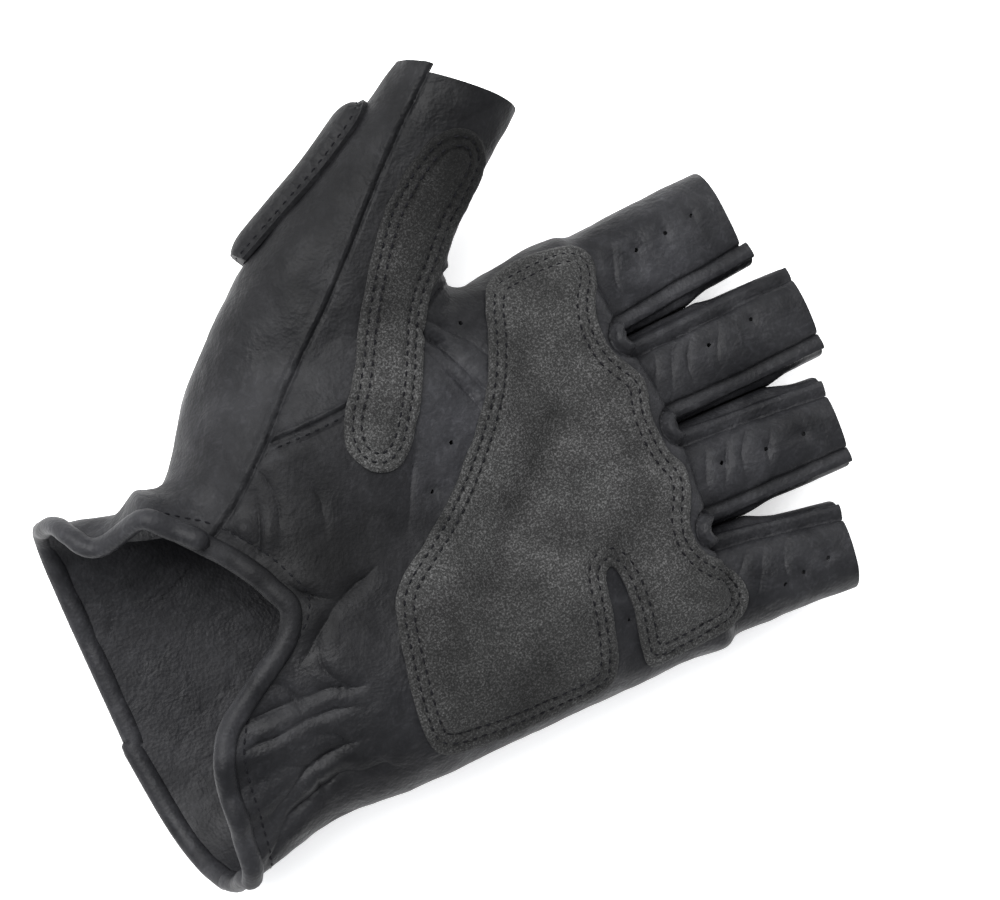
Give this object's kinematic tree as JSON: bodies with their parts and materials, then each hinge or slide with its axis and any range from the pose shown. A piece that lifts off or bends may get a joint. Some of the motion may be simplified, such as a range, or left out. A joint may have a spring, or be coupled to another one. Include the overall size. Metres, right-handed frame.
{
  "type": "fingerless glove",
  "caption": "Fingerless leather glove for the left hand, with suede grip patches, padded back panels, short open finger stalls and a gathered, bound cuff.",
  "frame": {"origin": "centre of the glove's bounding box in plan, at the surface its padded back lies on", "axes": "+X from the cuff to the fingers, +Y towards the thumb, +Z out of the palm"},
  "size_m": [0.1926, 0.1588, 0.0603],
  "materials": {
    "leather": "satin",
    "suede": "matte",
    "binding": "satin",
    "thread": "matte",
    "elastic": "matte",
    "foam": "matte"
  },
  "bodies": {
    "hand": {"palm_leather": "leather", "back_leather": "leather", "palm_patch": "suede", "palm_patch_thread": "thread", "web_index_middle": "leather", "web_middle_ring": "leather", "web_ring_little": "leather", "cuff_binding": "binding", "wrist_elastic": "elastic", "back_pad_cover": "leather", "back_pad_foam": "foam", "thumb_base_front": "leather", "thumb_base_back": "leather", "thumb_patch_lower": "suede"},
    "thumb": {"thumb_front": "leather", "thumb_back": "leather", "thumb_patch_upper": "suede", "thumb_patch_thread": "thread", "thumb_pad_cover": "leather", "thumb_pad_foam": "foam"},
    "index": {"index_front": "leather", "index_back": "leather", "index_inner_wall": "leather", "index_pad_cover": "leather", "index_pad_foam": "foam"},
    "middle": {"middle_front": "leather", "middle_back": "leather", "middle_outer_wall": "leather", "middle_inner_wall": "leather", "middle_pad_cover": "leather", "middle_pad_foam": "foam"},
    "ring": {"ring_front": "leather", "ring_back": "leather", "ring_outer_wall": "leather", "ring_inner_wall": "leather", "ring_pad_cover": "leather", "ring_pad_foam": "foam"},
    "little": {"little_front": "leather", "little_back": "leather", "little_outer_wall": "leather", "little_pad_cover": "leather", "little_pad_foam": "foam"}
  },
  "joints": [
    {"name": "index_flex", "type": "hinge", "parent": "hand", "child": "index", "pos_m": [0.0529, 0.01535, 0.03], "axis": [0.0454, -0.999, 0], "range_deg": [0, 60], "stiffness_Nm_per_rad": 0.02},
    {"name": "middle_flex", "type": "hinge", "parent": "hand", "child": "middle", "pos_m": [0.0533, -0.01185, 0.03], "axis": [0, -1, 0], "range_deg": [0, 60], "stiffness_Nm_per_rad": 0.02},
    {"name": "ring_flex", "type": "hinge", "parent": "hand", "child": "ring", "pos_m": [0.0535, -0.03745, 0.03], "axis": [-0.0663, -0.9978, 0], "range_deg": [0, 60], "stiffness_Nm_per_rad": 0.02},
    {"name": "little_flex", "type": "hinge", "parent": "hand", "child": "little", "pos_m": [0.0509, -0.06445, 0.03], "axis": [-0.1392, -0.9903, 0], "range_deg": [0, 60], "stiffness_Nm_per_rad": 0.02},
    {"name": "thumb_flex", "type": "hinge", "parent": "hand", "child": "thumb", "pos_m": [0.0024, 0.04595, 0.0542], "axis": [0.7541, -0.6568, 0], "range_deg": [0, 40], "stiffness_Nm_per_rad": 0.02}
  ]
}
